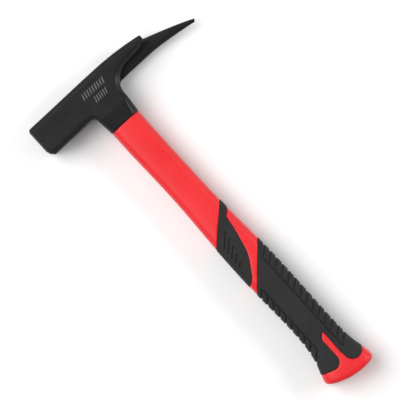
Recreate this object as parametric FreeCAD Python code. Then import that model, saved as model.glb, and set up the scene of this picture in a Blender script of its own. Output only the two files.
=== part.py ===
import FreeCAD, Part

# Brick hammer: one forged steel head with a square poll, a curved pick and a short nail claw beside the
# pick, bonded with epoxy to a fibreglass core that carries a red moulded jacket and two black soft grips.
#
# Frame, in millimetres. The hammer lies on one cheek of its head.
#   +X  from the striking face towards the pick
#   +Y  along the handle, from the butt towards the crown of the head
#   +Z  up, out of the cheek that carries the claw
# The origin is on the cheek that it lies on, under the handle's axis, half way down the poll's height.

import math
import os

from FreeCAD import Vector

# ---- Driving dimensions -------------------------------------------------------------------------------
OVERALL_LENGTH = 320.0      # crown of the head to the lowest point of the butt
HEAD_THICKNESS = 28.0       # across the two cheeks, and across the butt, so that it lies level
EDGE_CHAMFER = 3.2          # along the long edges of the poll, the crown and the armpits

# Head: poll
POLL_REACH = 62.4           # handle axis to striking face
POLL_HEIGHT = 28.4
FACE_DROP = 0.8             # how far the poll's centre line has fallen at the striking face
FACE_CHAMFER = 1.8          # around the striking face
FACE_HEEL = 4.2             # extra bevel at the lowest corner of the striking face

# Head: socket that the handle goes into
SOCKET_DEPTH = 47.5         # crown to the lower rim of the socket
SOCKET_WIDTH = 28.4         # along X at the lower rim
SOCKET_THINNING = 2.4       # how much thinner than the head the lower rim is, along Z
SOCKET_ROOT_WIDTH = 31.6    # along X, under the armpits
SOCKET_CORNER = 7.5         # rounding of the four corners at the lower rim
FRONT_ARMPIT_RADIUS = 4.5   # between the poll and the socket
REAR_ARMPIT_RADIUS = 6.0    # between the pick and the socket
EYE_CLEARANCE = 0.5         # between the eye and the tenon at the lower rim, all round, filled with epoxy
EYE_FLARE = 0.8             # how much wider that gap is at the crown, which locks the epoxy

# Head: rear, where the claw lies beside the pick
REAR_CROWN_RADIUS = 260.0   # the crown's curve behind the eye
REAR_CROWN_START = 10.0     # X where that curve leaves the flat crown
REAR_UNDERSIDE = 20.6       # crown to the underside of the pick at its root
CLAW_REACH = 55.0           # handle axis to the tip of the claw
CLAW_END_HEIGHT = 3.8       # the blunt upright end at the tip
CLAW_END_RUN = 7.4          # how far the slanting end runs back from the tip to the underside
CLAW_DEPTH = 12.6           # crown to the underside of the claw at its root
CLAW_RISE = 1.3             # how much higher the underside is where the slanting end starts
CLAW_ROOT_RADIUS = 18.0     # the sweep from the socket's back up to the underside of the claw
BEAK_CHAMFER = 1.2          # chamfer along the slanting end, on the cheek
CLAW_TIP_THICKNESS = 6.5
NOTCH_ROOT = 25.0           # handle axis to the bottom of the nail notch
NOTCH_ROOT_GAP = 2.0        # notch width at its bottom
PICK_OFFSET = 0.6           # how far the pick's inner side lies off the middle plane at the notch
PICK_SET_IN = 0.15          # how far the pick's root stands back from the block it grows out of
PICK_REACH = 96.8           # handle axis to the tip of the pick
PICK_SHOULDER = 39.0        # handle axis to where the pick's top starts to fall
PICK_SHOULDER_BLEND = 1.5   # softness of that change of direction
PICK_ARCH = 0.7             # how far its top arches above a straight line
PICK_TIP_DROP = 24.3        # crown to the middle of the tip
PICK_BEND_START = 56.0      # handle axis to where the underside starts to curve down
PICK_TIP_HEIGHT = 2.6
PICK_TIP_LEAN = 0.8         # how far the tip's end runs back towards its underside, per height
PICK_TIP_THICKNESS = 2.6
PICK_TIP_OFFSET = 4.0       # how far the tip lies off the head's middle plane, away from the claw

# Handle: core and bond
CORE_WIDTH = 16.4
CORE_THICKNESS = 10.4
CORE_CORNER = 3.6
CORE_END_GAP = 14.0         # butt to the lower end of the core
TENON_WALL = 1.4            # jacket left on the core inside the eye
BOND_RECESS = 0.6           # epoxy surface below the crown
CORE_RECESS = 0.3           # core end below the crown
TENON_RECESS = 3.0          # tenon end below the crown, flooded with epoxy

# Handle: jacket
SHAFT_TOP_STEP = 0.35       # how far the jacket stands back from the socket's rim all round
CORNER_FULLNESS = 0.97      # 1 gives flat sides with the tightest corners, less gives rounder sides
BUTT_END_RADIUS = 55.0      # the curved end, seen from the side
BUTT_LOW_X = 9.0            # X of the lowest point of that curve
BUTT_EDGE_RADIUS = 4.0      # rounding around the end

# Soft grips
GRIP_SKIN = 2.2             # how deep a grip is let into the jacket
GRIP_PROUD = 0.35           # how far it stands out of the jacket
PAD_EDGE_SLOPE = 43.6       # degrees between the pad's upper edge and the head
GRIP_EDGE_SLOPE = 47.4      # degrees between the main grip's upper edge and the head
PAD_TOP = 162.3             # butt to the pad's upper edge, on the handle axis
GRIP_TOP = 115.8            # butt to the main grip's upper edge, on the handle axis
PAD_REAR_EDGE = [           # X and height above the butt along the curved rear edge of the upper pad
    (8.8, 162.8), (7.2, 152.0), (4.8, 141.0), (1.5, 129.5), (-4.5, 119.3), (-9.0, 112.9), (-14.4, 109.2),
]
FLAME_TIP = 44.0            # butt to the tip of the red tongue
FLAME_WIDTH = 4.8
FLAME_X = 1.5               # middle of the red tongue
FRONT_LOBE_LOW = 14.1       # butt to the bottom of the main grip's front lobe
BACK_LOBE_LOW = 9.7         # butt to the bottom of its back lobe
TREAD_PITCH = 7.25          # spacing of the tread grooves along the handle
TREAD_WIDTH = 1.5
TREAD_DEPTH = 0.9
TREAD_FRONT_REACH = -8.8    # X where the front grooves end
TREAD_BACK_REACH = 8.4      # X where the back grooves end
TREAD_SLOPE = 45.0          # degrees between the tread grooves and the head
TREAD_START = 6.1           # from the grip's upper edge down to the first groove, on the handle axis
TREAD_FRONT_GAP = 18.0      # smooth length between the lowest front groove and the bottom of its lobe
TREAD_BACK_GAP = 11.0       # the same at the back
TREAD_BORDER = 0.8          # width of the groove along the inner ends of the others
PAD_GROOVES = 5
PAD_GROOVE_PITCH = 4.6
PAD_GROOVE_START = 8.8      # from the pad's upper edge down to the first groove, on the handle axis

RING_SPACING = 14.0         # least distance from the socket's rim to the first ring below it

# Shape of the jacket below the socket: height above the butt, X of the front, X of the back, and how much
# thinner than the head it is. The surface runs smoothly past these rings rather than exactly through them.
HANDLE_RINGS = [
    (254.0, -14.3, 13.7, 3.4),
    (232.0, -13.6, 13.7, 4.0),
    (206.0, -13.2, 13.7, 4.6),
    (180.0, -13.6, 14.0, 4.8),
    (158.0, -14.8, 15.0, 4.4),
    (136.0, -15.0, 16.2, 3.6),
    (114.0, -15.3, 16.8, 2.8),
    (92.0, -14.7, 17.0, 2.8),
    (70.0, -13.5, 16.6, 3.2),
    (50.0, -13.5, 16.4, 3.4),
    (36.0, -14.7, 16.6, 2.8),
    (26.0, -16.9, 17.0, 1.8),
    (17.0, -20.5, 18.8, 0.8),
    (8.0, -23.5, 21.4, 0.0),
    (-4.0, -23.8, 22.0, 0.0),
    (-16.0, -23.8, 22.0, 0.0),
]

# ---- Derived places ------------------------------------------------------------------------------------
MID_Z = HEAD_THICKNESS / 2
CROWN_Y = POLL_HEIGHT / 2
RIM_Y = CROWN_Y - SOCKET_DEPTH
BUTT_Y = CROWN_Y - OVERALL_LENGTH
REAR_LOW_Y = CROWN_Y - REAR_UNDERSIDE
CLAW_LOW_Y = CROWN_Y - CLAW_DEPTH
ARMPITS_Y = (
    -POLL_HEIGHT / 2 - FRONT_ARMPIT_RADIUS, REAR_LOW_Y - REAR_ARMPIT_RADIUS, CLAW_LOW_Y - CLAW_ROOT_RADIUS,
)
NECK_Y = min(ARMPITS_Y) - 1.0           # where the tapering lower part of the socket starts
SOCKET_THICKNESS = HEAD_THICKNESS - SOCKET_THINNING
TENON_WIDTH = CORE_WIDTH + 2 * TENON_WALL
TENON_THICKNESS = CORE_THICKNESS + 2 * TENON_WALL
TENON_CORNER = CORE_CORNER + TENON_WALL
PICK_SIDE_Z = MID_Z - PICK_OFFSET       # the pick's side of the nail notch
CLAW_SIDE_Z = PICK_SIDE_Z + NOTCH_ROOT_GAP
FAR = 400.0                             # longer than the hammer, for cutting tools


def polygon_prism(points, z_low, z_high):
    """A closed outline in the XY plane, extruded from z_low to z_high."""
    wire = Part.makePolygon([Vector(x, y, z_low) for x, y in points + points[:1]])
    return Part.Face(wire).extrude(Vector(0, 0, z_high - z_low))


def edges_prism(edges, z_low, z_high):
    """Edges that close an outline in the plane z = 0, extruded from z_low to z_high."""
    face = Part.Face(Part.Wire(Part.__sortEdges__(edges)))
    face.translate(Vector(0, 0, z_low))
    return face.extrude(Vector(0, 0, z_high - z_low))


def line(a, b):
    return Part.LineSegment(Vector(a[0], a[1], 0), Vector(b[0], b[1], 0)).toShape()


def arc(a, middle, b):
    return Part.Arc(Vector(*a, 0), Vector(*middle, 0), Vector(*b, 0)).toShape()


def rounded_section(y, x_low, x_high, thickness, corner):
    """A rounded rectangle across the handle at height y, centred on the middle plane."""
    z_low, z_high = MID_Z - thickness / 2, MID_Z + thickness / 2
    r = min(corner, thickness / 2 - 0.2, (x_high - x_low) / 2 - 0.2)
    slant = r * (1 - math.sqrt(0.5))

    def at(x, z):
        return Vector(x, y, z)

    edges = [
        Part.LineSegment(at(x_low + r, z_low), at(x_high - r, z_low)),
        Part.Arc(at(x_high - r, z_low), at(x_high - slant, z_low + slant), at(x_high, z_low + r)),
        Part.LineSegment(at(x_high, z_low + r), at(x_high, z_high - r)),
        Part.Arc(at(x_high, z_high - r), at(x_high - slant, z_high - slant), at(x_high - r, z_high)),
        Part.LineSegment(at(x_high - r, z_high), at(x_low + r, z_high)),
        Part.Arc(at(x_low + r, z_high), at(x_low + slant, z_high - slant), at(x_low, z_high - r)),
        Part.LineSegment(at(x_low, z_high - r), at(x_low, z_low + r)),
        Part.Arc(at(x_low, z_low + r), at(x_low + slant, z_low + slant), at(x_low + r, z_low)),
    ]
    return Part.Wire([e.toShape() for e in edges])


def centred_section(y, width, thickness, corner):
    return rounded_section(y, -width / 2, width / 2, thickness, corner)


# ---- Head ----------------------------------------------------------------------------------------------
def crown_y(x):
    """Height of the crown at x: level over the eye, curving down behind it."""
    run = max(0.0, x - REAR_CROWN_START)
    return CROWN_Y - REAR_CROWN_RADIUS + math.sqrt(REAR_CROWN_RADIUS**2 - run**2)


def neck_width():
    """Width of the socket where it meets the armpits."""
    share = (NECK_Y - RIM_Y) / (-POLL_HEIGHT / 2 - RIM_Y)
    return SOCKET_WIDTH + (SOCKET_ROOT_WIDTH - SOCKET_WIDTH) * share


def front_outline():
    """Outline of the crown, striking face, poll, front armpit and front of the socket, to the neck."""
    half, r = neck_width() / 2, FRONT_ARMPIT_RADIUS
    slant = r * (1 - math.sqrt(0.5))
    low = -POLL_HEIGHT / 2
    face_low, face_top = low - FACE_DROP, CROWN_Y - FACE_DROP
    armpit = (-half - r, low)
    return [
        line((0, CROWN_Y), (-POLL_REACH, face_top)),
        line((-POLL_REACH, face_top), (-POLL_REACH, face_low + FACE_HEEL)),
        line((-POLL_REACH, face_low + FACE_HEEL), (-POLL_REACH + FACE_HEEL, face_low)),
        line((-POLL_REACH + FACE_HEEL, face_low), armpit),
        arc(armpit, (-half - slant, low - slant), (-half, low - r)),
        line((-half, low - r), (-half, NECK_Y)),
        line((-half, NECK_Y), (0, NECK_Y)),
    ]


def rear_crown(x):
    middle = (x + REAR_CROWN_START) / 2
    return [
        line((0, CROWN_Y), (REAR_CROWN_START, CROWN_Y)),
        arc((REAR_CROWN_START, CROWN_Y), (middle, crown_y(middle)), (x, crown_y(x))),
    ]


def pick_half():
    """The half of the head on the pick's side, as far back as the pick's root."""
    half, r = neck_width() / 2, REAR_ARMPIT_RADIUS
    slant = r * (1 - math.sqrt(0.5))
    back = NOTCH_ROOT + 2.0
    outline = front_outline() + rear_crown(back)
    outline += [
        line((back, crown_y(back)), (back, REAR_LOW_Y)),
        line((back, REAR_LOW_Y), (half + r, REAR_LOW_Y)),
        arc((half + r, REAR_LOW_Y), (half + slant, REAR_LOW_Y - slant), (half, REAR_LOW_Y - r)),
        line((half, REAR_LOW_Y - r), (half, NECK_Y)),
        line((half, NECK_Y), (0, NECK_Y)),
    ]
    body = edges_prism(outline, 0, PICK_SIDE_Z)
    return chamfer_rim(body, 0, back)


def claw_half():
    """The half of the head on the claw's side, with the claw."""
    half, r = neck_width() / 2, CLAW_ROOT_RADIUS
    slant = r * (1 - math.sqrt(0.5))
    low = CLAW_LOW_Y
    beak = (CLAW_REACH, crown_y(CLAW_REACH) - CLAW_END_HEIGHT)
    heel = (CLAW_REACH - CLAW_END_RUN, low + CLAW_RISE)
    outline = front_outline() + rear_crown(CLAW_REACH)
    outline += [
        line((CLAW_REACH, crown_y(CLAW_REACH)), beak),
        line(beak, heel),
        line(heel, (half + r, low)),
        arc((half + r, low), (half + slant, low - slant), (half, low - r)),
        line((half, low - r), (half, NECK_Y)),
        line((half, NECK_Y), (0, NECK_Y)),
    ]
    body = edges_prism(outline, PICK_SIDE_Z, HEAD_THICKNESS)
    body = chamfer_rim(body, HEAD_THICKNESS, heel[0])
    beak_edges = [e for e in cheek_edges(body, HEAD_THICKNESS) if e.BoundBox.XMin > heel[0]]
    body = body.makeChamfer(BEAK_CHAMFER, [max(beak_edges, key=lambda e: e.Length)])
    tip_side = HEAD_THICKNESS - CLAW_TIP_THICKNESS
    run = CLAW_REACH - NOTCH_ROOT
    beyond = CLAW_SIDE_Z + (tip_side - CLAW_SIDE_Z) * (run + 10) / run
    notch = [
        Vector(NOTCH_ROOT, -FAR / 2, PICK_SIDE_Z - 1),
        Vector(CLAW_REACH + 10, -FAR / 2, PICK_SIDE_Z - 1),
        Vector(CLAW_REACH + 10, -FAR / 2, beyond),
        Vector(NOTCH_ROOT, -FAR / 2, CLAW_SIDE_Z),
    ]
    wedge = Part.Face(Part.makePolygon(notch + notch[:1])).extrude(Vector(0, FAR, 0))
    return body.cut(wedge)


def cheek_edges(body, z):
    """Edges that lie in the cheek at height z."""
    return [e for e in body.Edges if abs(e.BoundBox.ZMin - z) < 1e-6 and abs(e.BoundBox.ZMax - z) < 1e-6]


def chamfer_rim(body, z, x_limit):
    """Chamfers a flat body's outline on its cheek at height z, but not the neck or edges beyond x_limit."""
    rim = []
    for e in cheek_edges(body, z):
        on_neck = abs(e.BoundBox.YMax - NECK_Y) < 1e-6
        if not on_neck and e.BoundBox.XMin < x_limit - 1e-6:
            rim.append(e)
    return body.makeChamfer(EDGE_CHAMFER, rim)


def octagon(x, y_low, y_high, z_low, z_high, outer, inner, lean):
    """A rectangle across the head, with its own chamfers on the outer and on the inner side.

    Its top lies at x, and lean says how far it runs back from there, per height.
    """
    most = 0.34 * min(y_high - y_low, z_high - z_low)
    c, d = min(outer, most), min(inner, most)
    points = [
        (y_low, z_low + c),
        (y_low + c, z_low),
        (y_high - c, z_low),
        (y_high, z_low + c),
        (y_high, z_high - d),
        (y_high - d, z_high),
        (y_low + d, z_high),
        (y_low, z_high - d),
    ]
    return Part.makePolygon([Vector(x - lean * (y_high - y), y, z) for y, z in points + points[:1]])


def pick():
    """The pick, from inside the eye block to its tip, through chamfered sections."""
    tip_y = CROWN_Y - PICK_TIP_DROP
    tip_z = MID_Z - PICK_TIP_OFFSET
    shoulder_y = crown_y(PICK_SHOULDER)
    slope = (tip_y + PICK_TIP_HEIGHT / 2 - shoulder_y) / (PICK_REACH - PICK_SHOULDER)
    root, root_y, root_z = NOTCH_ROOT + 2.0, REAR_LOW_Y + PICK_SET_IN, PICK_SIDE_Z - PICK_SET_IN
    spans = 10
    stations = [NOTCH_ROOT - 4.0] + [root + (PICK_REACH - root) * i / spans for i in range(spans + 1)]
    sections = []
    for x in stations:
        bend = max(0.0, x - PICK_BEND_START) / (PICK_REACH - PICK_BEND_START)
        draw = max(0.0, x - NOTCH_ROOT) / (PICK_REACH - NOTCH_ROOT)
        along = max(0.0, (x - PICK_SHOULDER) / (PICK_REACH - PICK_SHOULDER))
        arch = PICK_ARCH * 6.75 * along**2 * (1 - along)
        crown, fall = crown_y(x), shoulder_y + slope * (x - PICK_SHOULDER) + arch
        top = (crown + fall - math.hypot(crown - fall, PICK_SHOULDER_BLEND)) / 2
        low = root_y + (tip_y - PICK_TIP_HEIGHT / 2 - root_y) * bend**1.25
        outer = PICK_SET_IN + (tip_z - PICK_TIP_THICKNESS / 2 - PICK_SET_IN) * draw
        inner = root_z + (tip_z + PICK_TIP_THICKNESS / 2 - root_z) * draw**1.6
        chamfer = EDGE_CHAMFER * (1 - 0.35 * draw)
        grown = min(1.0, max(0.0, x - root) / (PICK_BEND_START - root))
        lean = PICK_TIP_LEAN if x == stations[-1] else 0.0
        sections.append(octagon(x, low, top, outer, inner, chamfer, 0.3 + (chamfer - 0.3) * grown, lean))
    return Part.makeLoft(sections, True, False, False, 3)


def socket():
    """The lower part of the socket: chamfered like the head at the neck, rounded at the rim."""
    width, thickness, c = neck_width(), HEAD_THICKNESS, EDGE_CHAMFER
    x, z_low, z_high = width / 2, 0.0, thickness
    corners = [
        (-x + c, z_low), (x - c, z_low), (x, z_low + c), (x, z_high - c),
        (x - c, z_high), (-x + c, z_high), (-x, z_high - c), (-x, z_low + c),
    ]
    top = Part.makePolygon([Vector(a, NECK_Y, b) for a, b in corners + corners[:1]])
    rim = centred_section(RIM_Y, SOCKET_WIDTH, SOCKET_THICKNESS, SOCKET_CORNER)
    return Part.makeLoft([rim, top], True, True)


def eye(y_low, y_high):
    """The tapered hole in the head, between two heights."""
    sections = []
    for y in (y_low, y_high):
        gap = EYE_CLEARANCE + EYE_FLARE * (y - RIM_Y) / SOCKET_DEPTH
        width, thickness = TENON_WIDTH + 2 * gap, TENON_THICKNESS + 2 * gap
        sections.append(centred_section(y, width, thickness, TENON_CORNER + gap))
    return Part.makeLoft(sections, True, True)


def head():
    body = pick_half().fuse([claw_half(), pick(), socket()]).removeSplitter()
    face = [f for f in body.Faces if f.BoundBox.XMax < -POLL_REACH + 1e-6]
    body = body.makeChamfer(FACE_CHAMFER, face[0].Edges)
    return body.cut(eye(RIM_Y - 1.0, CROWN_Y + 1.0)).removeSplitter()


# ---- Handle --------------------------------------------------------------------------------------------
def core():
    sections = [
        centred_section(y, CORE_WIDTH, CORE_THICKNESS, CORE_CORNER)
        for y in (BUTT_Y + CORE_END_GAP, CROWN_Y - CORE_RECESS)
    ]
    return Part.makeLoft(sections, True, True)


def tenon():
    """The part of the jacket that goes into the eye."""
    heights = (RIM_Y - 5.0, CROWN_Y - TENON_RECESS)
    sections = [centred_section(y, TENON_WIDTH, TENON_THICKNESS, TENON_CORNER) for y in heights]
    return Part.makeLoft(sections, True, True)


def ring(y, x_low, x_high, thickness):
    """Control points of a rounded rectangle across the handle whose sides reach the given extents."""
    middle, half_x, half_z = (x_low + x_high) / 2, (x_high - x_low) / 2, thickness / 2
    corner = CORNER_FULLNESS
    side = (3 - corner) / 2
    signs = [(-1, -1), (0, -1), (1, -1), (1, 0), (1, 1), (0, 1), (-1, 1), (-1, 0)]
    points = []
    for a, b in signs:
        reach = corner if a and b else side
        points.append(Vector(middle + a * reach * half_x, y, MID_Z + b * reach * half_z))
    return points


def tube(rings):
    """A solid whose skin follows closed rings of control points and ends flat at the first and the last."""
    around, along = len(rings[0]), len(rings)
    surface = Part.BSplineSurface()
    surface.buildFromPolesMultsKnots(
        [[r[i] for r in rings] for i in range(around)],
        [1] * (around + 1), [4] + [1] * (along - 4) + [4],
        list(range(around + 1)), list(range(along - 2)),
        True, False, 3, 3,
    )
    skin = surface.toShape()
    ends = [Part.Face(Part.Wire(surface.vIso(v).toShape())) for v in (0, along - 3)]
    shell = Part.makeShell([skin] + ends)
    shell.sewShape()
    solid = Part.makeSolid(Part.Shell(shell.Faces))
    if solid.Volume < 0:
        solid.reverse()
    return solid


def handle_form(offset):
    """The outside of the handle, moved outwards by offset. Its lower end is cut by butt_form."""
    top_half = SOCKET_WIDTH / 2 - SHAFT_TOP_STEP
    rings = [(RIM_Y, -top_half, top_half, SOCKET_THINNING + 2 * SHAFT_TOP_STEP)]
    for height, front, back, thinner in HANDLE_RINGS:
        if BUTT_Y + height < RIM_Y - RING_SPACING:
            rings.append((BUTT_Y + height, front, back, thinner))
    return tube([ring(y, f - offset, b + offset, HEAD_THICKNESS - t + 2 * offset) for y, f, b, t in rings])


def butt_form():
    """Everything above the curved end of the butt."""
    middle = BUTT_Y + BUTT_END_RADIUS
    low_z = MID_Z - FAR / 2
    disc = Part.makeCylinder(BUTT_END_RADIUS, FAR, Vector(BUTT_LOW_X, middle, low_z))
    above = Part.makeBox(FAR, FAR, FAR, Vector(-FAR / 2, middle, low_z))
    return disc.fuse(above)


def jacket_form():
    """The jacket's outside with its rounded end."""
    body = handle_form(0.0).common(butt_form())
    end = [f for f in body.Faces if f.Surface.TypeId == "Part::GeomCylinder"]
    return body.makeFillet(BUTT_EDGE_RADIUS, end[0].Edges)


def edge_at(x, height, slope):
    """Y of a slanting grip edge at x: it falls towards the front."""
    return BUTT_Y + height + x * math.tan(math.radians(slope))


def pad_region():
    """Outline of the upper pad: a slanting upper edge, and a curved rear edge beside a red crescent."""
    wide = 30.0
    rear = [(x, BUTT_Y + h) for x, h in PAD_REAR_EDGE]
    curve = Part.BSplineCurve()
    curve.interpolate([Vector(x, y, 0) for x, y in rear])
    (x_top, y_top), (x_low, y_low) = rear[0], rear[-1]
    rise = math.tan(math.radians(PAD_EDGE_SLOPE))
    corners = [
        (x_top, y_top),
        (wide, y_top + rise * (wide - x_top)),
        (wide, edge_at(wide, PAD_TOP, PAD_EDGE_SLOPE)),
        (-wide, edge_at(-wide, PAD_TOP, PAD_EDGE_SLOPE)),
        (-wide, y_low - rise * (wide + x_low)),
        (x_low, y_low),
    ]
    edges = [curve.toShape()] + [line(a, b) for a, b in zip(corners, corners[1:])]
    return edges_prism(edges, MID_Z - FAR / 2, MID_Z + FAR / 2)


def grip_region():
    """Outline of the main grip: a slanting upper edge, and two round lobes beside the red tongue."""
    wide = 30.0
    left, right = FLAME_X - FLAME_WIDTH / 2, FLAME_X + FLAME_WIDTH / 2
    tip, front, back = (BUTT_Y + h for h in (FLAME_TIP, FRONT_LOBE_LOW, BACK_LOBE_LOW))
    corners = [
        (-8.0, front),
        (-wide, front + 7.5),
        (-wide, edge_at(-wide, GRIP_TOP, GRIP_EDGE_SLOPE)),
        (wide, edge_at(wide, GRIP_TOP, GRIP_EDGE_SLOPE)),
        (wide, back + 4.2),
        (18.6, back + 4.2),
    ]
    tongue = [
        (4.6, back + 6.6),
        (right, back + 14.0),
        (right + 0.4, tip - 3.0),
        (right - 0.4, tip),
        (left, tip - FLAME_WIDTH),
        (left, front + 8.7),
    ]
    edges = [line(a, b) for a, b in zip(corners, corners[1:])]
    edges.append(arc(corners[-1], (12.6, back), tongue[0]))
    edges += [line(a, b) for a, b in zip(tongue, tongue[1:])]
    edges.append(arc(tongue[-1], (-3.4, front + 1.7), corners[0]))
    return edges_prism(edges, MID_Z - FAR / 2, MID_Z + FAR / 2)


def slanting_bar(x_low, x_high, y_axis, slope):
    """A bar as wide as a tread groove, from x_low to x_high, on a line that crosses x = 0 at y_axis."""
    rise = math.tan(math.radians(slope))
    half = TREAD_WIDTH / 2 / math.cos(math.radians(slope))
    points = [
        (x_low, y_axis + rise * x_low - half),
        (x_high, y_axis + rise * x_high - half),
        (x_high, y_axis + rise * x_high + half),
        (x_low, y_axis + rise * x_low + half),
    ]
    return polygon_prism(points, MID_Z - FAR / 2, MID_Z + FAR / 2)


def tread_bars():
    """Tools for the grooves along the front and the back of the main grip, and for their inner borders."""
    bars = []
    rise = math.tan(math.radians(TREAD_SLOPE))
    wide = 30.0
    first = BUTT_Y + GRIP_TOP - TREAD_START
    bands = (
        (-wide, TREAD_FRONT_REACH, TREAD_FRONT_REACH, FRONT_LOBE_LOW + TREAD_FRONT_GAP),
        (TREAD_BACK_REACH, wide, TREAD_BACK_REACH, BACK_LOBE_LOW + TREAD_BACK_GAP),
    )
    for x_low, x_high, inner, lowest in bands:
        count = int((first + rise * inner - BUTT_Y - lowest) / TREAD_PITCH) + 1
        for i in range(count):
            bars.append(slanting_bar(x_low, x_high, first - TREAD_PITCH * i, TREAD_SLOPE))
        left, right = inner - TREAD_BORDER / 2, inner + TREAD_BORDER / 2
        top, low = first + rise * inner, first - TREAD_PITCH * (count - 1) + rise * inner
        border = [(left, low), (right, low), (right, top), (left, top)]
        bars.append(polygon_prism(border, MID_Z - FAR / 2, MID_Z + FAR / 2))
    return bars


def pad_bars():
    """Tools for the short grooves on the faces of the upper pad, shorter towards the butt."""
    bars = []
    for i in range(PAD_GROOVES):
        x_low = -9.8 - 0.15 * i
        x_high = 0.6 - 1.75 * i
        y_axis = BUTT_Y + PAD_TOP - PAD_GROOVE_START - PAD_GROOVE_PITCH * i
        bars.append(slanting_bar(x_low, x_high, y_axis, PAD_EDGE_SLOPE))
    return bars


def soft_grip(region, bars, outer, inner, floor):
    """A grip: the skin between the outer form and the recess, inside its region, with its grooves."""
    skin = outer.cut(inner).common(region)
    grooves = bars[0].fuse(bars[1:]).cut(floor)
    return skin.cut(grooves)


def handle_pieces():
    proud = handle_form(GRIP_PROUD)
    inner = handle_form(-GRIP_SKIN)
    floor = handle_form(GRIP_PROUD - TREAD_DEPTH)
    pad = soft_grip(pad_region(), pad_bars(), proud, inner, floor)
    grip = soft_grip(grip_region(), tread_bars(), proud, inner, floor)
    jacket = jacket_form().cut([pad_region().cut(inner), grip_region().cut(inner)])
    jacket = jacket.fuse(tenon()).cut(core())
    return jacket, pad, grip


def bond():
    """Epoxy between the eye and the tenon, flooded over the tenon's end."""
    return eye(RIM_Y, CROWN_Y - BOND_RECESS).cut(tenon()).cut(core())


def main():
    jacket, pad, grip = handle_pieces()
    nodes = {
        "forged_head": head(),
        "fibreglass_core": core(),
        "epoxy_bond": bond(),
        "handle_jacket": jacket,
        "upper_grip_pad": pad,
        "main_grip": grip,
    }
    os.makedirs("parts", exist_ok=True)
    for name, shape in nodes.items():
        solids = shape.Solids
        print(name, len(solids), [round(s.Volume, 1) for s in solids], shape.isValid())
        shape.exportStep(os.path.join("parts", name + ".step"))


main()
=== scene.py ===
import math

import bpy
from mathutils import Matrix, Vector


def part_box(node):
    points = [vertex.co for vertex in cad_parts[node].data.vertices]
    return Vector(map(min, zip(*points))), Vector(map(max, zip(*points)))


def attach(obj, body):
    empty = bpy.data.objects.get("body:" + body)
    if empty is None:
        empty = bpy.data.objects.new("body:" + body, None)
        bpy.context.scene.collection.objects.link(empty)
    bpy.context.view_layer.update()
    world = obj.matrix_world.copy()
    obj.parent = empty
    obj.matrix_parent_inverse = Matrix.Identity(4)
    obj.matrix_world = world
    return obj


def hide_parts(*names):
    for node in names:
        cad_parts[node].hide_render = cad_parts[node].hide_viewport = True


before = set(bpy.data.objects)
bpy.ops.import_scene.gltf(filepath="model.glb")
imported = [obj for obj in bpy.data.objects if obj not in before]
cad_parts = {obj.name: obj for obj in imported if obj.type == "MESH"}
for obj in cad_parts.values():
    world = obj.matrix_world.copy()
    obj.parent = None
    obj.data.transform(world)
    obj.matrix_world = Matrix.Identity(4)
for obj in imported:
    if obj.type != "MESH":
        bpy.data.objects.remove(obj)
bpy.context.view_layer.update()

MM = 0.001
scene = bpy.context.scene
scene.view_settings.view_transform = "Standard"

top_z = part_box("forged_head")[1].z      # the cheek that faces the camera


# ---- Camera: straight above, turned as the hammer lies ----
TURN = math.radians(-42.3)
VIEW_WIDTH = 319.2 * MM                 # what the picture spans at the hammer's middle plane
LENS = 400.0                            # long, because the view shows next to no perspective
SENSOR = 36.0
middle = Vector((2.3 * MM, -119.3 * MM, top_z / 2))

camera = bpy.data.objects.new("camera", bpy.data.cameras.new("camera"))
camera.data.lens = LENS
camera.data.sensor_width = SENSOR
camera.data.clip_start = 0.01
camera.data.clip_end = 20.0
camera.location = middle + Vector((0, 0, VIEW_WIDTH * LENS / SENSOR))
camera.rotation_euler = (0, 0, TURN)
scene.collection.objects.link(camera)
scene.camera = camera


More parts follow.
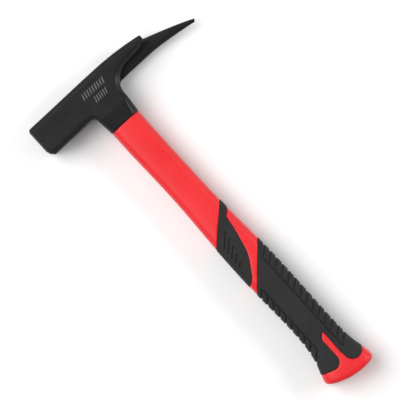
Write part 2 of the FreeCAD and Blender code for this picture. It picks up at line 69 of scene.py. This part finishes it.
# ---- Node helpers ----
class Nodes:
    """A material's node tree with short calls for the nodes used here."""

    def __init__(self, name):
        self.material = bpy.data.materials.new(name)
        self.material.use_nodes = True
        self.tree = self.material.node_tree
        self.shader = self.tree.nodes["Principled BSDF"]
        self.place = self.add("ShaderNodeTexCoord").outputs["Object"]

    def add(self, kind, **settings):
        node = self.tree.nodes.new(kind)
        for key, value in settings.items():
            setattr(node, key, value)
        return node

    def link(self, source, target):
        self.tree.links.new(source, target)

    def set(self, socket, value):
        if isinstance(value, bpy.types.NodeSocket):
            self.link(value, socket)
        else:
            socket.default_value = value

    def noise(self, scale, detail=2.0, rough=0.5):
        node = self.add("ShaderNodeTexNoise")
        self.link(self.place, node.inputs["Vector"])
        node.inputs["Scale"].default_value = scale
        node.inputs["Detail"].default_value = detail
        node.inputs["Roughness"].default_value = rough
        return node.outputs["Fac"]

    def math(self, operation, a, b=0.0):
        node = self.add("ShaderNodeMath", operation=operation)
        for socket, value in zip(node.inputs, (a, b)):
            self.set(socket, value)
        return node.outputs[0]

    def ramp(self, value, low, high, out_low=0.0, out_high=1.0):
        """A smooth step from out_low to out_high, as value goes from low to high."""
        node = self.add("ShaderNodeMapRange", interpolation_type="SMOOTHSTEP")
        sockets = ("Value", "From Min", "From Max", "To Min", "To Max")
        for key, setting in zip(sockets, (value, low, high, out_low, out_high)):
            self.set(node.inputs[key], setting)
        return node.outputs[0]

    def mix(self, factor, a, b):
        node = self.add("ShaderNodeMix", data_type="RGBA")
        self.set(node.inputs[0], factor)
        self.set(node.inputs[6], a)
        self.set(node.inputs[7], b)
        return node.outputs[2]

    def bump(self, height, distance, strength=1.0):
        node = self.add("ShaderNodeBump")
        node.inputs["Strength"].default_value = strength
        node.inputs["Distance"].default_value = distance
        self.link(height, node.inputs["Height"])
        return node.outputs["Normal"]

    def edges(self):
        """How far a place stands out (above 0.5) or lies in a crease (below 0.5)."""
        return self.add("ShaderNodeNewGeometry").outputs["Pointiness"]

    def split(self):
        node = self.add("ShaderNodeSeparateXYZ")
        self.link(self.place, node.inputs[0])
        return node.outputs

    def done(self, colour, roughness, normal, **fixed):
        self.set(self.shader.inputs["Base Color"], colour)
        self.set(self.shader.inputs["Roughness"], roughness)
        self.link(normal, self.shader.inputs["Normal"])
        for key, value in fixed.items():
            self.shader.inputs[key.replace("_", " ")].default_value = value
        return self.material


def grey(v):
    return (v, v, v, 1.0)


# ---- Materials ----
def lacquered_steel():
    n = Nodes("black_lacquered_steel")
    blotch = n.noise(70.0, 4.0, 0.6)
    fine = n.noise(900.0, 3.0, 0.6)
    peel = n.noise(420.0, 1.0, 0.4)
    edge = n.ramp(n.math("ADD", n.edges(), n.math("MULTIPLY", blotch, 0.03)), 0.535, 0.60)
    colour = n.mix(n.ramp(blotch, 0.3, 0.7), grey(0.007), grey(0.009))
    colour = n.mix(n.math("MULTIPLY", edge, 0.5), colour, grey(0.035))
    x, y, z = n.split()
    mark = etched(n, x, y, z, fine)
    colour = n.mix(mark, colour, grey(0.12))
    rough = n.ramp(blotch, 0.25, 0.75, 0.27, 0.35)
    rough = n.math("ADD", rough, n.math("MULTIPLY", fine, 0.08))
    height = n.math("ADD", n.math("MULTIPLY", peel, 0.7), n.math("MULTIPLY", fine, 0.3))
    return n.done(colour, rough, n.bump(height, 0.00012, 0.5), Specular_IOR_Level=0.2)


STROKE_SLANT = 0.3                      # how far a stroke leans along x for each unit of y
STROKE_SHARE = 0.4                      # the part of the pitch that a stroke fills
STROKE_DEPTH = 0.5 * MM                 # how far below the cheek the strokes still show
# Each row, in mm: where it starts along x at y = 0, its number of strokes, their pitch,
# and its lower and upper y.
STROKE_ROWS = ((-13.0, 9, 2.6, 0.9, 6.0), (-4.4, 6, 2.2, -6.8, -2.0))


def etched(n, x, y, z, fine):
    """Two rows of plain slanting strokes, light grey, on the cheek that faces the camera."""
    slanted = n.math("SUBTRACT", x, n.math("MULTIPLY", y, STROKE_SLANT))
    total = 0.0
    for first, strokes, pitch, low, high in STROKE_ROWS:
        along = n.math("DIVIDE", n.math("SUBTRACT", slanted, first * MM), pitch * MM)
        row = n.math("GREATER_THAN", along, 0.0)
        row = n.math("MULTIPLY", row, n.math("LESS_THAN", along, float(strokes)))
        row = n.math("MULTIPLY", row, n.math("LESS_THAN", n.math("FRACT", along), STROKE_SHARE))
        row = n.math("MULTIPLY", row, n.math("GREATER_THAN", y, low * MM))
        row = n.math("MULTIPLY", row, n.math("LESS_THAN", y, high * MM))
        total = n.math("MAXIMUM", total, row)
    total = n.math("MULTIPLY", total, n.math("GREATER_THAN", z, top_z - STROKE_DEPTH))
    return n.math("MULTIPLY", total, n.ramp(fine, 0.3, 0.6, 0.55, 1.0))


def moulded_red():
    n = Nodes("red_moulded_polypropylene")
    cloud = n.noise(28.0, 3.0, 0.55)
    grain = n.noise(2600.0, 2.0, 0.6)
    peel = n.noise(260.0, 1.0, 0.4)
    colour = n.mix(n.ramp(cloud, 0.3, 0.7), (0.64, 0.011, 0.015, 1), (0.68, 0.015, 0.020, 1))
    rough = n.math("ADD", n.ramp(cloud, 0.3, 0.7, 0.36, 0.44), n.math("MULTIPLY", grain, 0.06))
    height = n.math("ADD", n.math("MULTIPLY", peel, 0.6), n.math("MULTIPLY", grain, 0.4))
    return n.done(colour, rough, n.bump(height, 0.00008, 0.5), Specular_IOR_Level=0.35)


def soft_rubber():
    n = Nodes("black_soft_rubber")
    cloud = n.noise(60.0, 3.0, 0.55)
    grain = n.noise(2200.0, 3.0, 0.65)
    colour = n.mix(n.ramp(cloud, 0.3, 0.7), grey(0.010), grey(0.014))
    # painted shade: grooves and other hollows (low pointiness) are darkened to near black
    painted_groove_shade = n.ramp(n.edges(), 0.42, 0.49, 1.0, 0.0)
    colour = n.mix(painted_groove_shade, colour, grey(0.003))
    # painted highlight: the raised edges (high pointiness) are lightened toward grey
    colour = n.mix(n.ramp(n.edges(), 0.53, 0.60, 0.0, 0.6), colour, grey(0.030))
    rough = n.ramp(grain, 0.3, 0.7, 0.66, 0.80)
    return n.done(colour, rough, n.bump(grain, 0.00012, 0.6), Specular_IOR_Level=0.3)


def cut_fibreglass():
    n = Nodes("cut_fibreglass")
    fibres = n.noise(3800.0, 2.0, 0.7)
    cloud = n.noise(300.0, 3.0, 0.5)
    colour = n.mix(n.ramp(fibres, 0.35, 0.65), (0.50, 0.42, 0.24, 1), (0.78, 0.72, 0.55, 1))
    colour = n.mix(n.ramp(cloud, 0.3, 0.8, 0.0, 0.5), colour, (0.42, 0.34, 0.18, 1))
    return n.done(colour, n.ramp(fibres, 0.3, 0.7, 0.45, 0.7), n.bump(fibres, 0.0001, 0.7))


def cast_epoxy():
    n = Nodes("cast_epoxy")
    cloud = n.noise(220.0, 3.0, 0.5)
    bubbles = n.noise(1400.0, 1.0, 0.4)
    colour = n.mix(n.ramp(cloud, 0.3, 0.7), (0.030, 0.026, 0.020, 1), (0.055, 0.045, 0.030, 1))
    return n.done(colour, n.ramp(bubbles, 0.3, 0.7, 0.16, 0.30), n.bump(cloud, 0.0003, 0.5))


# ---- Pieces that stand for the CAD nodes ----
def softened(name, node, voxel, passes):
    """A closed copy of a CAD node with every edge rounded as moulding or forging leaves it.

    voxel is the remesh's cell size and passes is how many times the result is smoothed.
    """
    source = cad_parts[node]
    piece = bpy.data.objects.new(name, source.data.copy())
    scene.collection.objects.link(piece)
    remesh = piece.modifiers.new("remesh", "REMESH")
    remesh.mode = "VOXEL"
    remesh.voxel_size = voxel
    remesh.adaptivity = 0.0
    smooth = piece.modifiers.new("smooth", "SMOOTH")
    smooth.factor = 0.5
    smooth.iterations = passes
    graph = bpy.context.evaluated_depsgraph_get()
    mesh = bpy.data.meshes.new_from_object(piece.evaluated_get(graph))
    piece.modifiers.clear()
    piece.data = mesh
    mesh.name = name
    for polygon in mesh.polygons:
        polygon.use_smooth = True
    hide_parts(node)
    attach(piece, "root")
    return piece


def finish_with(piece, material):
    piece.data.materials.clear()
    piece.data.materials.append(material)


head = softened("hammer_head", "forged_head", voxel=0.5 * MM, passes=4)
jacket = softened("red_jacket", "handle_jacket", voxel=0.7 * MM, passes=3)
pad = softened("upper_pad", "upper_grip_pad", voxel=0.3 * MM, passes=2)
grip = softened("soft_grip", "main_grip", voxel=0.4 * MM, passes=2)

rubber = soft_rubber()
finish_with(head, lacquered_steel())
finish_with(jacket, moulded_red())
finish_with(pad, rubber)
finish_with(grip, rubber)
for node, material in (("fibreglass_core", cut_fibreglass()), ("epoxy_bond", cast_epoxy())):
    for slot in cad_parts[node].material_slots:
        slot.material = material


# ---- Stage ----
FLOOR_GAP = 0.2 * MM                    # keeps the floor clear of the faces that lie at z = 0
SURROUND = 0.42                         # strength of the even light from all around

bpy.ops.mesh.primitive_plane_add(size=8.0, location=(0, 0, -FLOOR_GAP))
floor = bpy.context.object
floor.name = "floor"
floor_nodes = Nodes("pale_floor")
floor.data.materials.append(
    floor_nodes.done(
        floor_nodes.mix(floor_nodes.noise(3.0), grey(0.80), grey(0.82)), 0.6,
        floor_nodes.bump(floor_nodes.noise(40.0), 0.0002, 0.1),
    )
)

world = bpy.data.worlds.new("studio")
scene.world = world
world.use_nodes = True
backdrop = world.node_tree.nodes["Background"]
backdrop.inputs["Color"].default_value = grey(1.0)
backdrop.inputs["Strength"].default_value = SURROUND

photo_right = Vector((math.cos(TURN), math.sin(TURN), 0))
photo_up = Vector((-math.sin(TURN), math.cos(TURN), 0))


def softbox(name, right, up, height, size, watts):
    """A square area light aimed at the middle of the view.

    right, up and height say in metres how far from the middle it stands, and size is its edge.
    """
    light = bpy.data.lights.new(name, "AREA")
    light.shape = "SQUARE"
    light.size = size
    light.energy = watts
    box = bpy.data.objects.new(name, light)
    box.location = middle + photo_right * right + photo_up * up + Vector((0, 0, height))
    box.rotation_euler = (middle - box.location).to_track_quat("-Z", "Y").to_euler()
    scene.collection.objects.link(box)


softbox("key", right=-1.5, up=0.25, height=1.9, size=2.2, watts=72.0)
softbox("fill", right=1.4, up=0.7, height=1.2, size=0.4, watts=9.0)
softbox("rim", right=1.7, up=0.3, height=0.45, size=0.5, watts=9.0)
